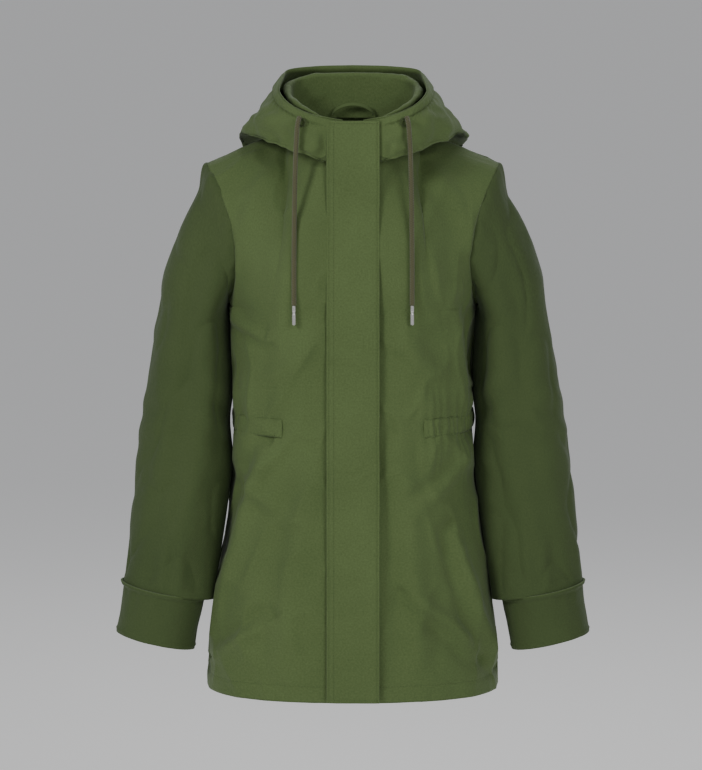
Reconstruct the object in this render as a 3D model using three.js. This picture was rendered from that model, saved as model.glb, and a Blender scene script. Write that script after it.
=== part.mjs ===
// A hooded mid-length jacket as it hangs on a body form, closed, with its hood down.
// Millimetres, +Z up, the front faces -Y and the wearer's left is +X.
import * as THREE from 'three';

// Overall sizes
const BODY_LENGTH = 700; // centre front, hem to neck seam
const HEM_HALF_WIDTH = 190;
const WAIST_HALF_WIDTH = 154;
const CHEST_HALF_WIDTH = 158;
const HEM_FRONT_DEPTH = 150;
const NECK_FRONT_DEPTH = 112;
const HEM_BACK_DEPTH = 132;
const WAIST_BACK_DEPTH = 112;
const CHEST_BACK_DEPTH = 122;
const UNDERARM_HEIGHT = BODY_LENGTH - 200;
const WAIST_HEIGHT = BODY_LENGTH / 2;
const SHOULDER_TIP_HEIGHT = BODY_LENGTH - 19;
const NECK_POINT_HEIGHT = BODY_LENGTH + 26;
const NECK_HALF_WIDTH = 82;
const BACK_NECK_DEPTH = 46;
const BUST_FULLNESS = 13;
const YOKE_START = 0.68; // share of a quarter's grid that lies below the underarm
const SECTION_POWER = 2.4; // how square the body's cross-section is

// Cloth and trim
const CLOTH = 2;
const SEAM_GAP = 0.8;
const ZIP_SLOT = 7; // half the gap between the two fronts
const HEM_TURNING = 22;
const CASING_HEIGHT = 24;
const CASING_THICKNESS = 4;
const CASING_FRONT_START = 88;
const TRIM_GAP = 0.5;

// Sleeves
const ARMHOLE_LEAN = 9.6; // degrees the armhole leans outward
const ARMHOLE_HALF_DEPTH = 70;
const ARMHOLE_BOW = 20;
const SLEEVE_CLEARANCE = 0.4;
const CUFF_WIDTH = 103;
const SLEEVE_TOP_OUTER = CHEST_HALF_WIDTH + 92;
const ELBOW_OUTER = WAIST_HALF_WIDTH + 122;
const SLEEVE_END_INNER = HEM_HALF_WIDTH + 4;
const SLEEVE_END_OUTER = SLEEVE_END_INNER + CUFF_WIDTH;
const SLEEVE_END_HEIGHT = BODY_LENGTH - 573;
const CUFF_HEIGHT = 62;
const CUFF_HALF_DEPTH = 46;
const CUFF_THICKNESS = 3;
const FORWARD_PITCH = 34;

// Storm flap, zip and snaps
const FLAP_HALF_WIDTH = 34;
const FLAP_LENGTH = BODY_LENGTH + 44;
const SLIDER_HALF_DEPTH = 4.2;
const PULL_THICKNESS = 1.4;
const PULL_GAP = 0.7;
const FLAP_STAND_OFF = SLIDER_HALF_DEPTH + PULL_THICKNESS + 2 * PULL_GAP;
const FLAP_THICKNESS = 2.4;
const ZIP_LENGTH = BODY_LENGTH - 10;
const TOOTH_PITCH = 6;
const TAPE_WIDTH = 13;
const TAPE_THICKNESS = 0.8;
const TAPE_GAP = 0.3;
const SNAP_COUNT = 5;
const SNAP_RADIUS = 6;
const SNAP_OFFSET = 24;

// Hood and cords
const CORD_RADIUS = 3;
const AGLET_LENGTH = 25;
const CORD_CLEARANCE = 0.4;
const EYELET_WIDTH = 2.6;

const V = (x, y, z) => new THREE.Vector3(x, y, z);
const OLIVE = 0x4d5a33;
const OLIVE_DARK = 0x3b4627;

function material(color, roughness, metalness) {
  return new THREE.MeshStandardMaterial({ color, roughness, metalness });
}

// Eases from a to b while x goes from x0 to x1.
function ease(x, x0, x1, a, b) {
  const t = THREE.MathUtils.smoothstep(x, x0, x1);
  return a + (b - a) * t;
}

// Turns a list of positions and triangles into a mesh that faces out.
function solid(name, points, faces, look) {
  let volume = 0;
  for (const [a, b, c] of faces) {
    volume += points[a].dot(V(0, 0, 0).crossVectors(points[b], points[c]));
  }
  const index = [];
  for (const [a, b, c] of faces) {
    index.push(...(volume < 0 ? [a, c, b] : [a, b, c]));
  }
  const geometry = new THREE.BufferGeometry().setFromPoints(points);
  geometry.setIndex(index);
  geometry.computeVertexNormals();
  const mesh = new THREE.Mesh(geometry, look);
  mesh.name = name;
  return mesh;
}

// Unit normals of a grid of points, from each point's neighbours.
function gridNormals(grid, closed) {
  const rows = grid.length;
  const cols = grid[0].length;
  const at = (i, j) => {
    const row = grid[THREE.MathUtils.clamp(i, 0, rows - 1)];
    const wrapped = closed ? (j + cols) % cols : THREE.MathUtils.clamp(j, 0, cols - 1);
    return row[wrapped];
  };
  return grid.map((row, i) => row.map((_, j) => {
    const along = at(i + 1, j).clone().sub(at(i - 1, j));
    const across = at(i, j + 1).clone().sub(at(i, j - 1));
    return across.cross(along).normalize();
  }));
}

// Where a seam lies across Y, keeps the cloth's thickness square to it.
function squareToSeams(normals, seam) {
  normals.forEach((row, i) => row.forEach((n, j) => {
    if (seam(j / (row.length - 1), i / (normals.length - 1))) {
      n.y = 0;
      n.normalize();
    }
  }));
}

// A sheet of cloth: the grid is its outer face, and its inner face lies `thickness` behind.
function sheet(name, grid, thickness, look, { closed = false, lift = 0, facing = 1, seam } = {}) {
  const rows = grid.length;
  const cols = grid[0].length;
  const normals = gridNormals(grid, closed);
  if (seam) {
    squareToSeams(normals, seam);
  }
  const points = [];
  for (const depth of [lift, lift - thickness]) {
    grid.forEach((row, i) => row.forEach((p, j) => {
      points.push(p.clone().addScaledVector(normals[i][j], facing * depth));
    }));
  }
  const id = (side, i, j) => side * rows * cols + i * cols + (j % cols);
  const faces = [];
  const quad = (a, b, c, d) => faces.push([a, b, c], [a, c, d]);
  const last = closed ? cols : cols - 1;
  for (let j = 0; j < last; j += 1) {
    for (let i = 0; i < rows - 1; i += 1) {
      quad(id(0, i, j), id(0, i, j + 1), id(0, i + 1, j + 1), id(0, i + 1, j));
      quad(id(1, i, j), id(1, i + 1, j), id(1, i + 1, j + 1), id(1, i, j + 1));
    }
    quad(id(0, 0, j), id(1, 0, j), id(1, 0, j + 1), id(0, 0, j + 1));
    const top = rows - 1;
    quad(id(0, top, j), id(0, top, j + 1), id(1, top, j + 1), id(1, top, j));
  }
  if (!closed) {
    const right = cols - 1;
    for (let i = 0; i < rows - 1; i += 1) {
      quad(id(0, i, 0), id(0, i + 1, 0), id(1, i + 1, 0), id(1, i, 0));
      quad(id(0, i, right), id(1, i, right), id(1, i + 1, right), id(0, i + 1, right));
    }
  }
  return solid(name, points, faces, look);
}

// Samples point(u, v) on a rectangle of the two parameters.
function grid(point, [u0, u1, nu], [v0, v1, nv]) {
  const rows = [];
  for (let i = 0; i <= nv; i += 1) {
    const row = [];
    for (let j = 0; j <= nu; j += 1) {
      row.push(point(u0 + (u1 - u0) * j / nu, v0 + (v1 - v0) * i / nv));
    }
    rows.push(row);
  }
  return rows;
}

// ---- body -------------------------------------------------------------------------------

function halfWidth(z) {
  const chest = ease(z, WAIST_HEIGHT, UNDERARM_HEIGHT, WAIST_HALF_WIDTH, CHEST_HALF_WIDTH);
  return z > WAIST_HEIGHT ? chest : ease(z, 0, WAIST_HEIGHT, HEM_HALF_WIDTH, WAIST_HALF_WIDTH);
}

function frontLine(z) {
  return HEM_FRONT_DEPTH + (NECK_FRONT_DEPTH - HEM_FRONT_DEPTH) * z / BODY_LENGTH;
}

function backLine(z) {
  const chest = ease(z, WAIST_HEIGHT, UNDERARM_HEIGHT, WAIST_BACK_DEPTH, CHEST_BACK_DEPTH);
  return z > WAIST_HEIGHT ? chest : ease(z, 0, WAIST_HEIGHT, HEM_BACK_DEPTH, WAIST_BACK_DEPTH);
}

function bust(x, z) {
  const across = Math.exp(-(((x - 84) / 34) ** 2));
  const up = Math.exp(-(((z - UNDERARM_HEIGHT - 20) / 130) ** 2));
  return BUST_FULLNESS * across * up;
}

// The ring of the body at height z, from u = 0 at the centre to u = 1 at the side seam.
function bodyRing(front, u, z) {
  const a = halfWidth(z);
  const start = front ? ZIP_SLOT : 0;
  const x = start + (a - start) * Math.sin(u * Math.PI / 2) ** (2 / SECTION_POWER);
  const b = front ? frontLine(z) : backLine(z);
  const y = b * Math.max(0, 1 - (x / a) ** SECTION_POWER) ** (1 / SECTION_POWER);
  return V(x, front ? -y : y, z);
}

// A point on an armhole: turn 0 is under the arm, PI at the shoulder tip, the front between.
function armhole(turn) {
  const lean = THREE.MathUtils.degToRad(ARMHOLE_LEAN);
  const tall = (SHOULDER_TIP_HEIGHT - UNDERARM_HEIGHT) / Math.cos(lean);
  const up = tall * (1 - Math.cos(turn)) / 2;
  const bow = ARMHOLE_BOW * Math.sin(turn) ** 2;
  const x = halfWidth(UNDERARM_HEIGHT) + up * Math.sin(lean) - bow;
  const y = -ARMHOLE_HALF_DEPTH * Math.sin(turn);
  return V(x, y, UNDERARM_HEIGHT + up * Math.cos(lean));
}

// The neckline and shoulder seam, from the centre out to the shoulder tip.
function topEdge(front, u) {
  const neck = 0.42;
  const tip = armhole(Math.PI);
  const side = V(NECK_HALF_WIDTH, 6, NECK_POINT_HEIGHT);
  if (u > neck) {
    return side.clone().lerp(tip, (u - neck) / (1 - neck));
  }
  const turn = (u / neck) * Math.PI / 2;
  if (!front) {
    const y = 6 + (BACK_NECK_DEPTH - 6) * Math.cos(turn);
    return V(NECK_HALF_WIDTH * Math.sin(turn), y, NECK_POINT_HEIGHT + 2 * Math.cos(turn));
  }
  const x = ZIP_SLOT + (NECK_HALF_WIDTH - ZIP_SLOT) * Math.sin(turn);
  const y = 6 - (6 + frontLine(BODY_LENGTH)) * Math.cos(turn);
  return V(x, y, NECK_POINT_HEIGHT - (NECK_POINT_HEIGHT - BODY_LENGTH) * Math.cos(turn) ** 0.8);
}

// The body above the underarm, stretched between its four edges.
function yoke(front, u, v) {
  const low = bodyRing(front, u, UNDERARM_HEIGHT);
  const high = topEdge(front, u);
  const centre = bodyRing(front, 0, UNDERARM_HEIGHT).lerp(topEdge(front, 0), v);
  const edge = armhole(front ? v * Math.PI : -v * Math.PI);
  const p = low.clone().multiplyScalar(1 - v).addScaledVector(high, v);
  p.addScaledVector(centre, 1 - u).addScaledVector(edge, u);
  p.addScaledVector(bodyRing(front, 0, UNDERARM_HEIGHT), -(1 - u) * (1 - v));
  p.addScaledVector(bodyRing(front, 1, UNDERARM_HEIGHT), -u * (1 - v));
  p.addScaledVector(topEdge(front, 0), -(1 - u) * v);
  p.addScaledVector(topEdge(front, 1), -u * v);
  const puff = Math.sin(Math.PI * v) * Math.sin(Math.PI * Math.min(1, u * 1.1)) ** 2;
  p.y += (front ? -14 : 24) * puff;
  return p;
}

// The whole height of one quarter of the body; v runs from the hem to the shoulder.
function bodyPoint(front, side, u, v) {
  const split = YOKE_START;
  const low = v < split;
  const p = low ? bodyRing(front, u, UNDERARM_HEIGHT * v / split)
    : yoke(front, u, (v - split) / (1 - split));
  if (front) {
    p.y -= bust(p.x, p.z);
  }
  p.x *= side;
  p.y += (front ? -1 : 1) * SEAM_GAP / 2;
  return p;
}

// The side seams up to the underarm, and the shoulder seams.
function onSeam(u, v) {
  return (u > 0.99 && v < 0.7) || (v > 0.99 && u > 0.4);
}

function frontPanel(name, side, look) {
  const at = (u, v) => bodyPoint(true, side, u, v);
  const rows = grid(at, [0, 1, 12], [0, 1, 22]);
  return sheet(name, rows, CLOTH, look, { facing: side, seam: onSeam });
}

function backPoint(u, v) {
  return bodyPoint(false, Math.sign(u) || 1, Math.abs(u), v);
}

function backPanel(look) {
  const rows = grid(backPoint, [-1, 1, 24], [0, 1, 22]);
  const seam = (s, v) => onSeam(Math.abs(2 * s - 1), v);
  return sheet('back_panel', rows, CLOTH, look, { facing: -1, seam });
}

// A band that follows the lower body between two heights, outside or inside the cloth.
function bodyBand(name, front, side, us, zs, thickness, lift, look) {
  const at = (u, z) => {
    const s = side || Math.sign(u) || 1;
    const v = YOKE_START * z / UNDERARM_HEIGHT;
    return bodyPoint(front, s, Math.abs(u), v);
  };
  const facing = front ? side : -1;
  const seam = (t) => Math.abs(us[0] + (us[1] - us[0]) * t) > 0.98;
  return sheet(name, grid(at, us, zs), thickness, look, { lift, facing, seam });
}

// ---- sleeves ----------------------------------------------------------------------------

// One ring of the sleeve: the point nearest the body, the outermost point and the half depth.
function station(inner, outer, depth, forward, bow) {
  return { inner, outer, depth, forward, bow };
}

function sleeveStations() {
  const tip = armhole(Math.PI);
  const root = V(halfWidth(UNDERARM_HEIGHT) + CLOTH + SLEEVE_CLEARANCE, 0, UNDERARM_HEIGHT - 1);
  const list = [];
  const fan = 6;
  const first = THREE.MathUtils.degToRad(ARMHOLE_LEAN);
  for (let i = 0; i <= fan; i += 1) {
    const t = i / fan;
    const turn = first + (Math.PI / 2 - first) * t ** 1.5;
    const tall = tip.z - root.z;
    const radius = 86 + (tall - 86) * Math.max(0, 1 - t * 1.02) ** 2.1 + 2;
    const inner = root.clone().add(V(0, 0, -3 * i));
    const outer = root.clone().add(V(radius * Math.sin(turn), 0, radius * Math.cos(turn)));
    const bow = ARMHOLE_BOW * (1 - t) ** 2;
    list.push(station(inner, outer, ARMHOLE_HALF_DEPTH - 2 * t, 0, bow));
  }
  const low = V(SLEEVE_END_INNER, 0, SLEEVE_END_HEIGHT - 9);
  const end = V(SLEEVE_END_OUTER, 0, SLEEVE_END_HEIGHT + 11);
  const steps = 8;
  for (let i = 1; i <= steps; i += 1) {
    const t = i / steps;
    const z = UNDERARM_HEIGHT - 18 + (SLEEVE_END_HEIGHT - UNDERARM_HEIGHT + 18) * t;
    const inner = V(halfWidth(z) + 7 + 2 * t, 0, z);
    const bulge = 4 * ELBOW_OUTER - 2 * SLEEVE_TOP_OUTER - 2 * SLEEVE_END_OUTER;
    const reach = SLEEVE_TOP_OUTER + (SLEEVE_END_OUTER - SLEEVE_TOP_OUTER) * t;
    const outer = V(reach + bulge * t * (1 - t), 0, z);
    inner.z += (low.z - SLEEVE_END_HEIGHT) * t;
    outer.z += (end.z - SLEEVE_END_HEIGHT) * t + 16 * (1 - t);
    const depth = ease(t, 0, 1, ARMHOLE_HALF_DEPTH - 2, CUFF_HALF_DEPTH + 8);
    list.push(station(inner, outer, depth, FORWARD_PITCH * t ** 1.6, 0));
  }
  return list;
}

function ringPoint(s, side, turn) {
  const centre = s.inner.clone().add(s.outer).multiplyScalar(0.5);
  const reach = s.outer.clone().sub(s.inner).multiplyScalar(0.5);
  const p = centre.addScaledVector(reach, -Math.cos(turn));
  p.x -= s.bow * Math.sin(turn) ** 2;
  p.y = -s.depth * Math.sin(turn) - s.forward;
  p.x *= side;
  return p;
}

function tube(stations, side, around) {
  return stations.map((s) => {
    const row = [];
    for (let j = 0; j < around; j += 1) {
      row.push(ringPoint(s, side, 2 * Math.PI * j / around));
    }
    return row;
  });
}

function sleeve(name, side, look) {
  const rows = tube(sleeveStations(), side, 18);
  return sheet(name, rows, CLOTH, look, { closed: true, facing: side });
}

function cuff(name, side, look) {
  const top = V(SLEEVE_END_OUTER - 1, 0, SLEEVE_END_HEIGHT + 10);
  const topIn = V(SLEEVE_END_INNER + 1, 0, SLEEVE_END_HEIGHT - 10);
  const rows = [];
  for (let i = 0; i <= 3; i += 1) {
    const t = i / 3;
    const down = 0.8 + CUFF_HEIGHT * t;
    const outer = top.clone().add(V(9 * t, 0, -down));
    const inner = topIn.clone().add(V(14 * t, 0, -down - 2 * t));
    const depth = CUFF_HALF_DEPTH + 7 * (1 - t) ** 2 + 1;
    rows.push(station(inner, outer, depth, FORWARD_PITCH + 4 * t, 0));
  }
  return sheet(name, tube(rows, side, 18), CUFF_THICKNESS, look, { closed: true, facing: side });
}

// ---- hood -------------------------------------------------------------------------------

function curve(points) {
  return new THREE.CatmullRomCurve3(points, false, 'centripetal');
}

// A curve whose heights are given from the front neck seam.
function fromNeck(points) {
  return curve(points.map((p) => p.add(V(0, 0, BODY_LENGTH))));
}

// The free rim of the hood round the face opening, from the front end to the centre back.
const rimLine = fromNeck([
  V(13, -113.5, 42), V(44, -115, 48), V(78, -100, 61), V(95, -60, 76),
  V(91, 0, 92), V(84, 38, 99), V(50, 60, 102), V(0, 66, 103),
]);

// Where the lying hood bulges most between its rim and its lowest fold.
const bulgeLine = fromNeck([
  V(13, -114, 19), V(38, -116, 22), V(60, -122, 27), V(88, -104, 37), V(114, -62, 44),
  V(128, 4, 42), V(122, 74, 38), V(70, 122, 30), V(0, 136, 26),
]);

// The lowest fold of the hood on the shoulders and down the back.
const foldLine = fromNeck([
  V(14, -114.5, 0), V(38, -116.5, -8), V(54, -122, -3), V(84, -107, 8), V(121, -64, 16),
  V(146, 0, 20), V(142, 84, -6), V(88, 148, -66), V(0, 168, -94),
]);

// The underside half way back to the neck seam.
const underLine = fromNeck([
  V(14, -113.5, 2), V(37, -113.5, -1), V(72, -94, 11), V(100, -54, 22),
  V(112, 2, 28), V(108, 76, 12), V(66, 132, -44), V(0, 152, -66),
]);

// The seam that joins the hood to the neckline.
const seamLine = fromNeck([
  V(14, -112, 4), V(36, -107, 5), V(62, -84, 12), V(83, -44, 23),
  V(90, 6, 34), V(80, 36, 35), V(44, 54, 36), V(0, 60, 36),
]);

function hoodPoint(side, w, t) {
  const at = Math.min(1, Math.max(0, w));
  const lines = [rimLine, bulgeLine, foldLine, underLine, seamLine];
  const across = curve(lines.map((line) => line.getPoint(at)));
  const p = across.getPoint(Math.min(1, Math.max(0, t)));
  p.x *= side;
  return p;
}

function hoodSheet(name, side, ws, ts, thickness, lift, look) {
  const at = (w, t) => hoodPoint(side, w, t);
  return sheet(name, grid(at, ws, ts), thickness, look, { lift, facing: -side });
}

// The strip between the two halves of the hood, over its centre back.
function hoodGusset(look) {
  const at = (s, t) => hoodPoint(Math.sign(s) || 1, 1 - 0.14 * Math.abs(s), t);
  return sheet('hood_gusset', grid(at, [-1, 1, 6], [0, 1, 10]), CLOTH, look, { facing: 1 });
}

// The drawcord tunnel inside the rim, one piece over the back of the hood.
function backTunnel(look) {
  const at = (s, t) => hoodPoint(Math.sign(s) || 1, 1 - 0.494 * Math.abs(s), t);
  const rows = grid(at, [-0.99, 0.99, 16], [0.012, 0.075, 2]);
  return sheet('hood_tunnel_back', rows, CLOTH, look, { lift: -CLOTH - 2 * TRIM_GAP, facing: 1 });
}

// The low collar inside the hood, sewn to the neckline and turned over at its top.
function neckRise(look) {
  const foot = fromNeck([
    V(14, -107, 7), V(36, -98, 8), V(58, -74, 14), V(74, -36, 24),
    V(78, 2, 33), V(66, 28, 35), V(36, 40, 36), V(0, 44, 36),
  ]);
  const head = fromNeck([
    V(15, -104, 42), V(36, -95, 46), V(62, -70, 57), V(78, -34, 70),
    V(78, 2, 80), V(66, 26, 86), V(36, 38, 90), V(0, 40, 91),
  ]);
  const at = (s, t) => {
    const w = 1 - Math.abs(s);
    const p = foot.getPoint(w).lerp(head.getPoint(w), t);
    p.x *= Math.sign(s) || 1;
    return p;
  };
  return sheet('neck_rise', grid(at, [-1, 1, 22], [0, 1, 3]), CLOTH, look, { lift: 0, facing: 1 });
}

// ---- trim -------------------------------------------------------------------------------

// Lofts rectangles along z: each section is [z, x0, x1, y0, y1].
function bar(name, sections, look) {
  const points = [];
  const faces = [];
  for (const [z, x0, x1, y0, y1] of sections) {
    points.push(V(x0, y0, z), V(x1, y0, z), V(x1, y1, z), V(x0, y1, z));
  }
  const quad = (a, b, c, d) => faces.push([a, b, c], [a, c, d]);
  for (let i = 0; i + 1 < sections.length; i += 1) {
    for (let k = 0; k < 4; k += 1) {
      const next = (k + 1) % 4;
      quad(4 * i + k, 4 * i + next, 4 * i + 4 + next, 4 * i + 4 + k);
    }
  }
  const top = 4 * sections.length - 4;
  quad(3, 2, 1, 0);
  quad(top, top + 1, top + 2, top + 3);
  return solid(name, points, faces, look);
}

// One side of the zip chain: a bead with teeth that reach into the other side's gaps.
function zipTeeth(name, side, look) {
  const sections = [];
  const count = Math.floor(ZIP_LENGTH / TOOTH_PITCH);
  for (let i = 0; i < count; i += 1) {
    const z = 16 + i * TOOTH_PITCH + (side > 0 ? 0 : TOOTH_PITCH / 2);
    const wide = side * -0.6;
    const narrow = side * 1.9;
    sections.push([z, ...[wide, side * 4].sort((a, b) => a - b), -1.4, 1.4]);
    sections.push([z + TOOTH_PITCH / 2, ...[narrow, side * 4].sort((a, b) => a - b), -1.4, 1.4]);
  }
  return bar(name, sections, look);
}

function zipTape(name, side, look) {
  const near = side * 4.3;
  const far = side * (4.3 + TAPE_WIDTH);
  const [x0, x1] = [near, far].sort((a, b) => a - b);
  const y0 = SLIDER_HALF_DEPTH + TAPE_GAP;
  const sections = [];
  for (let i = 0; i <= 6; i += 1) {
    sections.push([12 + (ZIP_LENGTH + 6) * i / 6, x0, x1, y0, y0 + TAPE_THICKNESS]);
  }
  return bar(name, sections, look);
}

function box(name, size, at, look) {
  const mesh = new THREE.Mesh(new THREE.BoxGeometry(...size), look);
  mesh.name = name;
  mesh.position.set(...at);
  return mesh;
}

// The slider: two shoulders and a waist, wrapped round the chain with a channel through it.
function zipSlider(at, look) {
  const half = 6.4;
  const deep = SLIDER_HALF_DEPTH;
  const outline = [
    [-half, -deep], [half, -deep], [half, deep], [-half, deep],
  ].map(([x, y]) => new THREE.Vector2(x, y));
  const shape = new THREE.Shape(outline);
  const hole = new THREE.Path();
  hole.moveTo(-4.9, -1.9);
  hole.lineTo(-4.9, 1.9);
  hole.lineTo(4.9, 1.9);
  hole.lineTo(4.9, -1.9);
  hole.closePath();
  shape.holes.push(hole);
  const geometry = new THREE.ExtrudeGeometry(shape, { depth: 16, bevelEnabled: false });
  const mesh = new THREE.Mesh(geometry, look);
  mesh.name = 'zip_slider';
  mesh.position.set(...at);
  return mesh;
}

function lathe(name, profile, segments, look) {
  const points = profile.map(([x, y]) => new THREE.Vector2(x, y));
  const mesh = new THREE.Mesh(new THREE.LatheGeometry(points, segments), look);
  mesh.name = name;
  return mesh;
}

// The stud half of a snap, standing out of the front.
function snapStud(name, at, look) {
  const r = SNAP_RADIUS;
  const tall = FLAP_STAND_OFF - 4; // its head reaches 0.7 into the socket
  const mesh = lathe(name, [
    [0, 0], [r, 0], [r, 0.9], [2, 0.9], [1.7, tall - 1.2], [2.1, tall - 0.6], [1.4, tall], [0, tall],
  ], 16, look);
  mesh.position.set(...at);
  mesh.rotation.x = Math.PI;
  return mesh;
}

// The socket half, a ring under the flap that the stud's head enters.
function snapSocket(name, at, look) {
  const r = SNAP_RADIUS;
  const mesh = lathe(name, [
    [3.2, 0], [r, 0], [r, 2.6], [3.2, 2.6], [3.2, 0],
  ], 16, look);
  mesh.position.set(...at);
  return mesh;
}

// A round cord along a route.
function cord(name, route, look) {
  const path = curve(route);
  const ring = [];
  for (let k = 0; k < 10; k += 1) {
    const turn = 2 * Math.PI * k / 10;
    ring.push(new THREE.Vector2(CORD_RADIUS * Math.cos(turn), CORD_RADIUS * Math.sin(turn)));
  }
  const options = { steps: 22, bevelEnabled: false, extrudePath: path };
  const mesh = new THREE.Mesh(new THREE.ExtrudeGeometry(new THREE.Shape(ring), options), look);
  mesh.name = name;
  return mesh;
}

// Points a solid that was turned about +Y along a direction.
function aim(mesh, from, to) {
  const direction = to.clone().sub(from).normalize();
  mesh.position.copy(from);
  mesh.quaternion.setFromUnitVectors(V(0, 1, 0), direction);
  return mesh;
}

function aglet(name, from, to, look) {
  const r = 2.55;
  return aim(lathe(name, [
    [0, 0], [r - 0.3, 0], [r, 0.6], [r, 7], [r - 0.35, 8], [r - 0.35, 10], [r, 11],
    [r, AGLET_LENGTH - 1], [r - 0.8, AGLET_LENGTH], [0, AGLET_LENGTH],
  ], 16, look), from, to);
}

function eyelet(name, at, normal, look) {
  const hole = CORD_RADIUS + CORD_CLEARANCE;
  const r = hole + EYELET_WIDTH;
  const mesh = lathe(name, [
    [hole, 0.9], [r, 0.9], [r, 1.6], [r - 0.8, 2.2], [hole + 0.8, 2.2], [hole, 1.6], [hole, 0.9],
  ], 20, look);
  return aim(mesh, at, at.clone().add(normal));
}

// ---- assembly ---------------------------------------------------------------------------

const jacket = new THREE.Group();
jacket.position.z = -BODY_LENGTH;

const cloth = (tone = OLIVE) => material(tone, 0.85, 0);
const metal = () => material(0xb9bab8, 0.35, 0.9);

jacket.add(backPanel(cloth()));
jacket.add(frontPanel('front_panel_left', 1, cloth()));
jacket.add(frontPanel('front_panel_right', -1, cloth()));

// Hem turnings inside the cloth
const hemZ = [0.5, HEM_TURNING, 1];
const inside = -CLOTH - 2 * TRIM_GAP;
jacket.add(bodyBand('hem_back', false, 0, [-0.99, 0.99, 22], hemZ, 1.2, inside, cloth(OLIVE_DARK)));
jacket.add(bodyBand('hem_left', true, 1, [0.12, 0.99, 11], hemZ, 1.2, inside, cloth(OLIVE_DARK)));
jacket.add(bodyBand('hem_right', true, -1, [0.12, 0.99, 11], hemZ, 1.2, inside, cloth(OLIVE_DARK)));

// Waist casings outside the cloth
const casingZ = [WAIST_HEIGHT - CASING_HEIGHT / 2, WAIST_HEIGHT + CASING_HEIGHT / 2, 2];
const outside = CASING_THICKNESS + 2 * TRIM_GAP;
const casingReach = (CASING_FRONT_START / WAIST_HALF_WIDTH) ** (SECTION_POWER / 2);
const casingU = [Math.asin(casingReach) * 2 / Math.PI, 1, 7];
for (const [word, side, us] of [['back', 0, [-1, 1, 24]], ['left', 1, casingU], ['right', -1, casingU]]) {
  const name = `waist_casing_${word}`;
  jacket.add(bodyBand(name, side !== 0, side, us, casingZ, CASING_THICKNESS, outside, cloth()));
}

// Sleeves and cuffs
for (const [word, side] of [['left', 1], ['right', -1]]) {
  jacket.add(sleeve(`sleeve_${word}`, side, cloth()));
  jacket.add(cuff(`cuff_${word}`, side, cloth(OLIVE_DARK)));
}

// Hood
const tunnelLift = -CLOTH - 2 * TRIM_GAP;
for (const [word, side] of [['left', 1], ['right', -1]]) {
  jacket.add(hoodSheet(`hood_front_${word}`, side, [0, 0.494, 8], [0, 1, 10], CLOTH, 0, cloth()));
  jacket.add(hoodSheet(`hood_side_${word}`, side, [0.506, 0.848, 6], [0, 1, 10], CLOTH, 0, cloth()));
  const band = [0.012, 0.2, 2];
  jacket.add(hoodSheet(`hood_tunnel_${word}`, side, [0.02, 0.49, 8], band, CLOTH, tunnelLift, cloth()));
}
jacket.add(hoodGusset(cloth()));
jacket.add(backTunnel(cloth()));
jacket.add(neckRise(cloth()));

// Everything on the centre front leans back with it, so it is built upright in its own group.
const front = new THREE.Group();
front.position.set(0, -HEM_FRONT_DEPTH, 0);
front.rotation.x = -Math.atan((HEM_FRONT_DEPTH - NECK_FRONT_DEPTH) / BODY_LENGTH);
jacket.add(front);

const flapBack = -FLAP_STAND_OFF;
front.add(box('storm_flap', [2 * FLAP_HALF_WIDTH, FLAP_THICKNESS, FLAP_LENGTH],
  [0, flapBack - FLAP_THICKNESS / 2, FLAP_LENGTH / 2 + 1], cloth()));
for (const [word, side] of [['left', 1], ['right', -1]]) {
  front.add(zipTeeth(`zip_teeth_${word}`, side, metal()));
  front.add(zipTape(`zip_tape_${word}`, side, material(OLIVE_DARK, 0.9, 0)));
  front.add(box(`zip_top_stop_${word}`, [3, 2.6, 4], [side * 2.8, 0, 22 + ZIP_LENGTH], metal()));
}
front.add(box('zip_bottom_box', [11, 4, 10], [0, 0, 9], metal()));
const sliderZ = ZIP_LENGTH - 12;
front.add(zipSlider([0, 0, sliderZ], metal()));
const pullBack = -SLIDER_HALF_DEPTH - PULL_GAP;
const pullFace = [pullBack - PULL_THICKNESS, pullBack];
front.add(bar('zip_pull', [
  [sliderZ - 18, -2.2, 2.2, ...pullFace],
  [sliderZ - 15, -3.6, 3.6, ...pullFace],
  [sliderZ + 10, -2.6, 2.6, ...pullFace],
], metal()));
for (let i = 0; i < SNAP_COUNT; i += 1) {
  const z = 50 + (ZIP_LENGTH - 240) * i / (SNAP_COUNT - 1);
  front.add(snapStud(`snap_stud_${i + 1}`, [SNAP_OFFSET, -1.9, z], metal()));
  front.add(snapSocket(`snap_socket_${i + 1}`, [SNAP_OFFSET, flapBack + 0.2, z], metal()));
}

// Drawcords, which leave the hood's tunnel by an eyelet and hang free
const cordRoute = [
  [68, -118.6, 48], [70, -124.5, 40], [71.5, -127, 22], [73, -127, -10], [74, -127.5, -50],
  [74.5, -129.5, -95], [75, -133.2, -140], [75, -133.6, -178], [75, -133.4, -190],
];
for (const [word, side] of [['left', 1], ['right', -1]]) {
  const route = cordRoute.map(([x, y, z]) => V(side * x, y, BODY_LENGTH + z));
  const end = route[route.length - 1];
  const before = route[route.length - 2];
  const tip = end.clone().add(end.clone().sub(before).normalize());
  jacket.add(cord(`drawcord_${word}`, route, material(0x5b5433, 0.9, 0)));
  jacket.add(aglet(`aglet_${word}`, end.clone().lerp(tip, 0.4), tip, metal()));
  const spot = hoodPoint(side, 0.25, 0.14);
  const rise = hoodPoint(side, 0.25, 0.13).sub(spot);
  const run = hoodPoint(side, 0.26, 0.14).sub(spot);
  const normal = V(0, 0, 0).crossVectors(run, rise).multiplyScalar(-side).normalize();
  jacket.add(eyelet(`eyelet_${word}`, spot, normal.y < 0 ? normal : normal.negate(), cloth()));
}

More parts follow.
